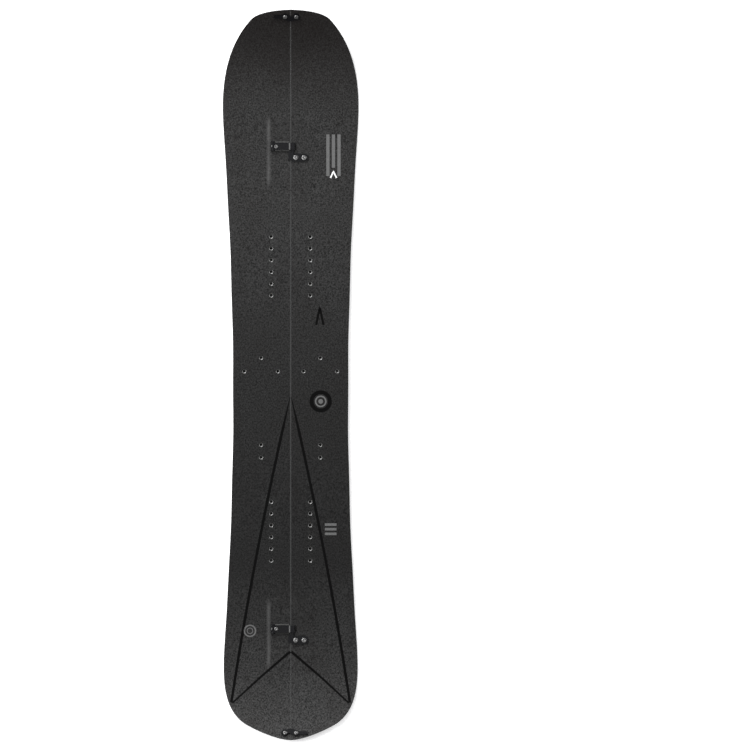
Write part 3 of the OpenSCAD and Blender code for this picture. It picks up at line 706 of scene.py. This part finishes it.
def running_base(side, word):
    start = SEAM_X + EDGE_W
    columns = [seam_column(EDGE_W, at_level(BASE_TOP), EDGE_W),
               seam_column(EDGE_W, at_level(BASE_LOW), EDGE_W),
               rim_column(EDGE_W, at_level(BASE_LOW), start),
               rim_column(EDGE_W, at_level(BASE_TOP), start)]
    sole = loft(word + "_base_skin", side, columns, BASE)
    carve(sole, [(m, TIP_NUT_HOLE_R, -8, 2) for m in tip_bolt_matrices(side)])
    settle(sole, word + "_half", "running_base", word + "_base")


def outer_edge(side, word):
    """The steel round the outside, with its lower outer corner rounded."""
    start = SEAM_X + EDGE_W
    columns = [rim_column(EDGE_W, at_level(CORE_LOW), start), rim_column(EDGE_W, at_level(BASE_LOW), start),
               rim_column(0.3, at_level(BASE_LOW), start), rim_column(0.07, at_level(BASE_LOW, 0.08), start),
               rim_column(0, at_level(BASE_LOW, 0.35), start), rim_column(0, at_level(CORE_LOW), start)]
    edge = loft(word + "_outer_edge_strip", side, columns, EDGE)
    settle(edge, word + "_half", "edge_steel", word + "_outer_edge")


def inner_edge(side, word):
    """The steel along the seam, with its lower corner rounded."""
    columns = [seam_column(0, at_level(CORE_LOW)), seam_column(0, at_level(BASE_LOW, 0.3)),
               seam_column(0.07, at_level(BASE_LOW, 0.07)), seam_column(0.3, at_level(BASE_LOW)),
               seam_column(EDGE_W, at_level(BASE_LOW)), seam_column(EDGE_W, at_level(CORE_LOW))]
    edge = loft(word + "_inner_edge_strip", side, columns, EDGE)
    settle(edge, word + "_half", "edge_steel", word + "_inner_edge")


def outer_sidewall(side, word):
    """The wall under the rim, which leans in from the edge to the topsheet."""
    columns = [rim_column(OUTER_WALL_W, at_level(CORE_TOP)), rim_column(OUTER_WALL_W, at_level(CORE_LOW)),
               rim_column(0, at_level(CORE_LOW)), rim_column(0.05, at_level(CORE_LOW, 0.4)),
               rim_column(TOPSHEET_INSET, at_level(CORE_TOP, -0.3)),
               rim_column(TOPSHEET_INSET + 0.1, at_level(CORE_TOP))]
    wall = loft(word + "_outer_sidewall_strip", side, columns, SIDEWALL, rows_between(CORE_Y0, CORE_Y1))
    settle(wall, word + "_half", "sidewall", word + "_outer_sidewall")


def inner_sidewall(side, word):
    columns = [seam_column(INNER_WALL_W, at_level(CORE_TOP)), seam_column(INNER_WALL_W, at_level(CORE_LOW)),
               seam_column(0.02, at_level(CORE_LOW)), seam_column(-SEAM_REACH, at_level(CORE_LOW, 0.4)),
               seam_column(-SEAM_REACH, at_level(CORE_TOP, -0.3)), seam_column(0.02, at_level(CORE_TOP))]
    wall = loft(word + "_inner_sidewall_strip", side, columns, SIDEWALL, rows_between(CORE_Y0, CORE_Y1))
    settle(wall, word + "_half", "sidewall", word + "_inner_sidewall")


def spacers(side, word):
    """The two blocks that take the core's place in the tips."""
    for tip, y0, y1 in (("nose", CORE_Y1, HALF_L), ("tail", -HALF_L, CORE_Y0)):
        columns = [seam_column(-SEAM_REACH, at_level(CORE_LOW)), seam_column(-SEAM_REACH, at_level(CORE_TOP)),
                   rim_column(TOPSHEET_INSET, at_level(CORE_TOP)),
                   rim_column(0.25, at_level(CORE_TOP, -0.25)),
                   rim_column(0, at_level(CORE_LOW, 0.3)), rim_column(0, at_level(CORE_LOW))]
        made = loft(f"{word}_{tip}_spacer_block", side, columns, SPACER, rows_between(y0, y1))
        settle(made, word + "_half", "tip_spacer", f"{word}_{tip}_spacer")


for word, side in SIDES.items():
    topsheet(side, word)
    top_laminate(side, word)
    running_base(side, word)
    outer_edge(side, word)
    inner_edge(side, word)
    outer_sidewall(side, word)
    inner_sidewall(side, word)
    spacers(side, word)

# the filler under the pads stays under the softened topsheet
for word in SIDES:
    mesh = frame["nodes"][word + "_clip_pads"].data.copy()
    mesh.materials.clear()
    mesh.materials.append(FILLER)
    for v in mesh.vertices:
        x, y = v.co.x / MM, v.co.y / MM
        v.co.z = min(v.co.z, (top_z(x, y) - TOPSHEET_T) * MM)
    filler = bpy.data.objects.new(word + "_pad_filler", mesh)
    bpy.context.scene.collection.objects.link(filler)
    settle(filler, word + "_half", "pad_filler", word + "_clip_pads")

# ---- Inserts ----

INSERT_L, FLANGE_R, FLANGE_T = 8.0, 9.0, 1.0
INSERT_SIDES = 20
INSERT_PROFILE = (
    (FLANGE_R, -INSERT_L), (FLANGE_R, FLANGE_T - INSERT_L), (INSERT_R, FLANGE_T - INSERT_L),
    (INSERT_R, -0.12), (4.42, -0.02), (4.25, -0.02), (2.95, -0.75))
BORE_R, BORE_L, BORE_MOUTH_R = 2.5, 6.5, 2.9
THREAD_PITCH, THREAD_DEPTH, THREAD_START, THREAD_STEP = 1.0, 0.36, 0.95, 0.25
BORE_END = (1.2, -6.9)


def add_insert(bm, matrix):
    """A flanged insert with a dished mouth and a threaded bore."""
    angles = [2 * math.pi * k / INSERT_SIDES for k in range(INSERT_SIDES)]

    def ring(radii, z):
        return [matrix @ Vector((r * math.cos(a), r * math.sin(a), z)) * MM for r, a in zip(radii, angles)]

    def even(radius, z):
        return ring([radius] * INSERT_SIDES, z)

    rings = [even(radius, z) for radius, z in INSERT_PROFILE]
    z = -THREAD_START
    while z > -BORE_L:
        turns = [(z / THREAD_PITCH + k / INSERT_SIDES) % 1.0 for k in range(INSERT_SIDES)]
        rings.append(ring([BORE_R + THREAD_DEPTH * abs(2 * turn - 1) for turn in turns], z))
        z -= THREAD_STEP
    rings += [even(BORE_R, -BORE_L), even(*BORE_END)]
    add_rings(bm, rings)


for word, side in SIDES.items():
    for kind, places in INSERT_PLACES.items():
        bm = bmesh.new()
        for x, y in places:
            add_insert(bm, insert_matrix(side, x, y))
        inserts = new_object(f"{word}_{kind}_insert_set", bm, INSERT, 40)
        inserts.data.materials.append(BORE)
        for face in inserts.data.polygons:
            x, y, z = face.center / MM
            near = min(places, key=lambda p: (side * p[0] - x) ** 2 + (p[1] - y) ** 2)
            in_bore = math.hypot(side * near[0] - x, near[1] - y) < BORE_MOUTH_R
            if in_bore and z > level(SHEET_TOP, y) + BORE_END[1] - 0.05:
                face.material_index = 1
        settle(inserts, word + "_half", "insert_steel", f"{word}_{kind}_inserts")

# ---- Screws and bolts ----

# heads as (share of the radius, z in mm)
FLAT_HEAD = ((0.97, 0.0), (1.0, 0.12), (1.0, 1.62), (0.985, 1.82), (0.93, 2.0), (0.84, 2.1), (0.62, 2.16))
DOME_HEAD = (
    (0.97, 0.0), (1.0, 0.1), (1.0, 0.5), (0.97, 0.95), (0.9, 1.35), (0.78, 1.72), (0.62, 1.98), (0.5, 2.1))


def add_screw(bm, matrix, head, head_r, key_r, shank_r, shank_l):
    """A lathed head with a six-lobe recess, standing on the frame's z = 0, and its shank below."""
    top = head[-1][1]
    profile = [(shank_r, -shank_l), (shank_r, 0.0)] + [(head_r * r, z) for r, z in head]
    profile += [(key_r + 0.35, top + 0.02)]
    recess = [(key_r + 0.12, top - 0.02), (key_r, top - 0.18), (key_r, top - 1.2), (key_r * 0.5, top - 1.35)]
    add_lathe(bm, matrix, profile + recess, 48, range(len(profile), len(profile) + len(recess)))


def spun(matrix, x, y, z, turn):
    return matrix @ Matrix.Translation((x, y, z)) @ Matrix.Rotation(math.radians(turn), 4, "Z")


def clip_screws(name, body, node, xs, y, plate_t, head_r, key_r, turn):
    """The screws of both clips on one half. turn(k, n) is the recess's angle on clip n's screw k."""
    bm = bmesh.new()
    for n, clip in enumerate(CLIPS.values()):
        for k, x in enumerate(xs):
            add_screw(bm, spun(clip, x, y, plate_t, turn(k, n)), FLAT_HEAD, head_r, key_r,
                      CLIP_SCREW_D / 2, plate_t + CLIP_SCREW_L)
    settle(new_object(name, bm, SCREW, 35), body, "screw_steel", node)


def tip_bolt(tip, kind, body, x, shoulder_r, turn):
    bm = bmesh.new()
    add_screw(bm, spun(TIPS[tip], x, 0, TIP_BOSS_H, turn), DOME_HEAD, 4.65, 1.55, shoulder_r, TIP_BOSS_H)
    shank_r = TIP_BOLT_D / 2
    add_lathe(bm, spun(TIPS[tip], x, 0, 0, 0), ((shank_r, -TIP_BOLT_L), (shank_r, 0.0)), 32)
    settle(new_object(f"{tip}_{kind}_bolt_head", bm, SCREW, 35), body, "screw_steel", f"{tip}_{kind}_bolt")


clip_screws("lever_base_screw_set", "left_half", "lever_base_screws", LEVER_SCREW_XS, CLIP_STAGGER,
            LEVER_FLOOR_T, 4.75, 1.9, lambda k, n: 17 + 31 * k + 20 * n)
clip_screws("hook_plate_screw_set", "right_half", "hook_plate_screws", HOOK_SCREW_XS, -CLIP_STAGGER,
            HOOK_PLATE_T, 5.3, 2.1, lambda k, n: 8 + 23 * k + 14 * n)
for tip, latch_body, catch_body in (("nose", "left_half", "right_half"), ("tail", "right_half", "left_half")):
    tip_bolt(tip, "latch", latch_body, -TIP_BOLT_X, 3.0, 12)
    tip_bolt(tip, "catch", catch_body, TIP_BOLT_X, 2.0, 40)


# ---- Clip and latch hardware: the CAD's own shapes with broken edges ----

HARDWARE = (  # node, body, finish, rounding in mm and its steps
    ("lever_bases", "left_half", "black_anodised", 0.8, 3),
    ("hook_plates", "right_half", "black_anodised", 0.3, 2),
    ("front_lever", "front_lever", "black_anodised", 0.3, 2),
    ("rear_lever", "rear_lever", "black_anodised", 0.3, 2),
    ("nose_latch", "nose_latch", "black_anodised", 0.35, 2),
    ("tail_latch", "tail_latch", "black_anodised", 0.35, 2),
    ("nose_catch", "right_half", "black_anodised", 0.25, 2),
    ("tail_catch", "left_half", "black_anodised", 0.25, 2),
    ("lever_pins", "left_half", "screw_steel", 0.3, 2),
    ("nose_latch_washer", "left_half", "black_anodised", 0.06, 1),
    ("tail_latch_washer", "right_half", "black_anodised", 0.06, 1),
    ("left_tip_nuts", "left_half", "insert_steel", 0.15, 2),
    ("right_tip_nuts", "right_half", "insert_steel", 0.15, 2),
)

def refined(node, body, slot, width, steps):
    """A copy of a CAD node whose flat faces are whole again and whose edges are rounded by width, in mm."""
    mesh = frame["nodes"][node].data.copy()
    bm = bmesh.new()
    bm.from_mesh(mesh)
    bmesh.ops.remove_doubles(bm, verts=bm.verts, dist=2e-6)
    bmesh.ops.dissolve_limit(bm, angle_limit=math.radians(1.0), verts=bm.verts, edges=bm.edges)
    bm.to_mesh(mesh)
    bm.free()
    mesh.materials.clear()
    mesh.materials.append(FINISHES[slot])
    obj = bpy.data.objects.new(node + "_finished", mesh)
    bpy.context.scene.collection.objects.link(obj)
    bevel = obj.modifiers.new("edges", "BEVEL")
    bevel.width = width * MM
    bevel.segments = steps
    bevel.limit_method = "ANGLE"
    bevel.angle_limit = math.radians(28)
    bevel.use_clamp_overlap = True
    apply_modifiers(obj)
    even_shading(obj, 32)
    return settle(obj, body, slot, node)


for row in HARDWARE:
    refined(*row)


def rail_place(point):
    """A point of a lever base in its clip's frame, from the clip's middle line, and that frame."""
    clip = CLIPS["front" if point.y > 0 else "rear"]
    at = clip.inverted() @ (point / MM)
    return at, abs(at.y - CLIP_STAGGER), clip


# the rails' tops fall off outwards and are rubbed there
RAIL_X0, RAIL_X1 = -33.6, 0.0
RAIL_IN, RAIL_CREST, RAIL_W, RAIL_FALL = 7.8, 9.4, 2.4, 1.2
RAIL_LOW_Z, RUBBED_IN, RUBBED_LOW_Z = 3.2, 7.6, 2.2
rails = bpy.data.objects["lever_bases_finished"].data
rails.materials.append(RUBBED_METAL)
for v in rails.vertices:
    at, out_y, clip = rail_place(v.co)
    if out_y > RAIL_CREST and at.z > RAIL_LOW_Z and RAIL_X0 < at.x < RAIL_X1:
        at.z -= RAIL_FALL * min(1.0, (out_y - RAIL_IN) / RAIL_W)
        v.co = (clip @ at) * MM
rails.update()
for face in rails.polygons:
    at, out_y, clip = rail_place(face.center)
    slant = (clip.inverted().to_3x3() @ face.normal).z
    if out_y > RUBBED_IN and at.z > RUBBED_LOW_Z and 0.5 < slant < 0.98 and at.x > RAIL_X0:
        face.material_index = 1

RIB_X0, RIB_X1, RIB_Z = -3.7, -0.7, 7.45
STUD_X, STUD_Z, STUD_TILT = -41.1, 7.55, -38
STUD_WAIST = 0.62  # the stud is this much narrower along the clip, to clear the lever base when open
STUD_PROFILE = ((2.9, -1.2), (2.9, 0.25), (2.7, 0.5), (2.2, 0.72), (1.3, 0.85), (0.4, 0.9))
for name, clip in CLIPS.items():
    lever = bpy.data.objects[name + "_lever_finished"]
    lever.data.materials.append(ALLOY)
    to_clip = clip.inverted()
    for face in lever.data.polygons:
        at = to_clip @ (face.center / MM)
        if RIB_X0 < at.x < RIB_X1 and at.z > RIB_Z:
            face.material_index = 1
    bm = bmesh.new()
    stud = clip @ Matrix.Translation((STUD_X, CLIP_STAGGER, STUD_Z))
    stud = stud @ Matrix.Rotation(math.radians(STUD_TILT), 4, "Y") @ Matrix.Diagonal((STUD_WAIST, 1, 1, 1))
    add_lathe(bm, stud, STUD_PROFILE, 32)
    settle(new_object(name + "_lever_stud", bm, SCREW), name + "_lever", "screw_steel")


# ---- Printed graphics ----

PROUD = 0.07  # how far the ink stands above the surface, and reaches into it


def printed(name, side, strips, material, surface=top_z, up=1, slot="topsheet"):
    """Thin closed ribbons on a surface. Each strip is a list of (left point, right point) pairs in mm.

    A strip that comes back to its first point is a ring, with no ends to close."""
    bm = bmesh.new()
    for strip in strips:
        is_ring = math.dist(strip[0][0], strip[-1][0]) < 1e-6
        rings = []
        for (ax, ay), (bx, by) in strip:
            az, bz = surface(ax, ay), surface(bx, by)
            rings.append([Vector(p) * MM for p in (
                (ax, ay, az - up * PROUD), (ax, ay, az + up * PROUD),
                (bx, by, bz + up * PROUD), (bx, by, bz - up * PROUD))])
        add_rings(bm, rings, close_ends=not is_ring)
    word = "left" if side == LEFT else "right"
    return settle(new_object(name, bm, material), word + "_half", slot)


def ribbon(points, width, steps=10):
    """A strip of one width along a path, tapered where width is a function of the share along it."""
    path = []
    for (ax, ay), (bx, by) in zip(points, points[1:]):
        path += [(ax + (bx - ax) * k / steps, ay + (by - ay) * k / steps) for k in range(steps)]
    path.append(points[-1])
    strip = []
    for n, (x, y) in enumerate(path):
        before, after = path[max(0, n - 1)], path[min(len(path) - 1, n + 1)]
        dx, dy = after[0] - before[0], after[1] - before[1]
        size = math.hypot(dx, dy)
        half = (width(n / (len(path) - 1)) if callable(width) else width) / 2
        across_x, across_y = dy / size * half, dx / size * half
        strip.append(((x - across_x, y + across_y), (x + across_x, y - across_y)))
    return strip


def bar(x0, x1, y0, y1, steps=6):
    ys = [y0 + (y1 - y0) * k / steps for k in range(steps + 1)]
    return [((x0, y), (x1, y)) for y in ys]


def annulus(centre, inner, outer, around=64):
    """A ring, or a disc where inner is next to nothing."""
    x, y = centre
    turns = [2 * math.pi * k / around for k in range(around + 1)]
    spokes = [(math.cos(a), math.sin(a)) for a in turns]
    return [((x + inner * c, y + inner * s), (x + outer * c, y + outer * s)) for c, s in spokes]


FLANK_STEPS = 60
FLANK_START, FLANK_END = (1.2, -48), (128.2, -708)
FLANK_BOW = 0.21


def flank_line(side):
    """A long line that leaves the seam near the waist and runs out to the tail's corner in one slow bow."""
    (x0, y0), (x1, y1) = FLANK_START, FLANK_END
    points = []
    for k in range(FLANK_STEPS + 1):
        t = k / FLANK_STEPS
        bowed = (1 + FLANK_BOW) * t - FLANK_BOW * t * t
        points.append((side * (x0 + (x1 - x0) * bowed), y0 + (y1 - y0) * t))
    return points


def flank_width(t):
    """The flank line starts thin and is at its full width after about an eighth of its length."""
    return 1.8 + 4.0 * smooth_step(t / 0.12)


def chevron_line(side):
    return [(side * 1.2, -598), (side * 64, -652), (side * 126, -709)]


def chevron_width(t):
    return 5.6 - 2.0 * t


def base_z(x, y):
    return level(BASE_LOW, y)


# where the painted seam highlight runs, in mm out from the seam and along the length
SEAM_LIT_IN, SEAM_LIT_OUT, SEAM_LIT_END = 0.3, 1.15, 785
for word, side in SIDES.items():
    printed(word + "_flank_line", side, [ribbon(flank_line(side), flank_width, 2)], BLACK_INK)
    printed(word + "_tail_chevron", side, [ribbon(chevron_line(side), chevron_width, 48)], BLACK_INK)
# painted highlight: a lighter strip down each side of the seam for the glint of its rounded edges
for word, side in SIDES.items():
    seam_highlight = bar(side * SEAM_LIT_IN, side * SEAM_LIT_OUT, -SEAM_LIT_END, SEAM_LIT_END, 420)
    printed(word + "_seam_wear", side, [seam_highlight], SEAM_HIGHLIGHT_INK)

# plain bars with a small chevron, ahead of the front foot
NOSE_BARS = [bar(77, 84, 430, 520), bar(89, 96, 448, 520), bar(101, 108, 430, 520)]
printed("right_nose_bars", RIGHT, NOSE_BARS, GREY_INK)
printed("right_nose_chevron", RIGHT, [ribbon([(86, 426), (92.5, 440), (99, 426)], 3.2)], PALE_INK)
# a plain chevron ahead of the waist
printed("right_waist_chevron", RIGHT, [ribbon([(55, 108), (63, 146), (71, 108)], 5.0)], BLACK_INK)
# a disc and rings at the waist
EMBLEM, REAR_RING = (65, -57), (-88, -553)
FULL = 0.01  # the inner radius of a disc
printed("right_emblem_field", RIGHT, [annulus(EMBLEM, 15.5, 24, 72)], BLACK_INK)
printed("right_emblem_disc", RIGHT, [annulus(EMBLEM, 9.5, 12.5), annulus(EMBLEM, FULL, 5, 48)], GREY_INK)
# a plain ladder of bars beside the rear foot and a double ring behind it
printed("right_rear_bars", RIGHT, [bar(74, 99, y, y + 5.5, 2) for y in (-346, -336, -326)], GREY_INK)
printed("left_rear_ring", LEFT, [annulus(REAR_RING, 10.5, 13.5), annulus(REAR_RING, 5.2, 6.8, 48)], GREY_INK)
# bars and a chevron on the base
for name, strips, ink in (
        ("left_base_bars", [bar(-102, -82, 300, 515), bar(-70, -50, 340, 515)], GREY_INK),
        ("left_base_chevron", [ribbon([(-72, 290), (-60, 322), (-48, 290)], 6.0)], PALE_INK)):
    printed(name, LEFT, strips, ink, base_z, -1, "running_base")

# ---- Stage ----

scene = bpy.context.scene
scene.view_settings.view_transform = "Standard"

floor_finish = Finish("pale_floor", linear(249, 249, 250), 0.9, specular=0.1)
floor_finish.bump(floor_finish.noise((3, 3, 3), 2, 0.5), 0.02, 0.2)
floor_finish.shader.inputs["Emission Color"].default_value = (1, 1, 1, 1)
floor_finish.shader.inputs["Emission Strength"].default_value = 0.5
FLOOR_HALF_W = 30  # metres
FLOOR_DROP = 0.5 * MM  # keeps the floor clear of the base
bm = bmesh.new()
bmesh.ops.create_grid(bm, x_segments=2, y_segments=2, size=FLOOR_HALF_W)
floor = new_object("floor", bm, floor_finish.material)
floor.location.z = -FLOOR_DROP

world = bpy.data.worlds.new("studio")
scene.world = world
world.use_nodes = True
sky = world.node_tree


def sky_ramp(socket, low, high, a, b, kind="LINEAR"):
    """Maps a direction's share, low..high, to a strength from a to b."""
    made = sky.nodes.new("ShaderNodeMapRange")
    made.interpolation_type = kind
    for key, value in (("From Min", low), ("From Max", high), ("To Min", a), ("To Max", b)):
        made.inputs[key].default_value = value
    sky.links.new(socket, made.inputs["Value"])
    return made.outputs["Result"]


# a white sky that is dimmer overhead and towards the tail
direction = sky.nodes.new("ShaderNodeSeparateXYZ")
sky.links.new(sky.nodes.new("ShaderNodeTexCoord").outputs["Generated"], direction.inputs["Vector"])
strength = sky.nodes.new("ShaderNodeMath")
strength.operation = "MULTIPLY"
sky.links.new(sky_ramp(direction.outputs["Z"], 0.45, 0.95, 0.62, 0.14, "SMOOTHSTEP"), strength.inputs[0])
sky.links.new(sky_ramp(direction.outputs["Y"], -0.75, 0.15, 0.4, 1.0), strength.inputs[1])
sky.links.new(strength.outputs[0], sky.nodes["Background"].inputs["Strength"])
sky.nodes["Background"].inputs["Color"].default_value = (1, 1, 1, 1)


def area_light(name, place, target, size, power):
    """A rectangular light. Places and sizes are in metres."""
    data = bpy.data.lights.new(name, "AREA")
    data.shape = "RECTANGLE"
    data.size, data.size_y = size
    data.energy = power
    light = bpy.data.objects.new(name, data)
    scene.collection.objects.link(light)
    light.location = place
    light.rotation_euler = (Vector(target) - Vector(place)).to_track_quat("-Z", "Y").to_euler()


area_light("key", (-2.1, 3.5, 3.0), (0, 0, 0), (2.2, 2.2), 190)
area_light("side", (-2.5, -0.1, 5.4), (0, 0, 0), (1.0, 3.4), 190)
area_light("fill", (4.6, 2.2, 2.6), (0.3, 0, 0), (3.0, 4.0), 90)

# straight above and far off, with the board left of the middle
VIEW_W = 1.6208
VIEW_X = 0.1823
VIEW_LEVEL = 0.015  # the height at which VIEW_W holds
CAMERA_Z = 24.0
SENSOR_W = 36
camera_data = bpy.data.cameras.new("camera")
camera_data.sensor_width = SENSOR_W
camera_data.lens = SENSOR_W * (CAMERA_Z - VIEW_LEVEL) / VIEW_W
camera_data.clip_end = 60
camera = bpy.data.objects.new("camera", camera_data)
scene.collection.objects.link(camera)
camera.location = (VIEW_X, 0.0, CAMERA_Z)
scene.camera = camera
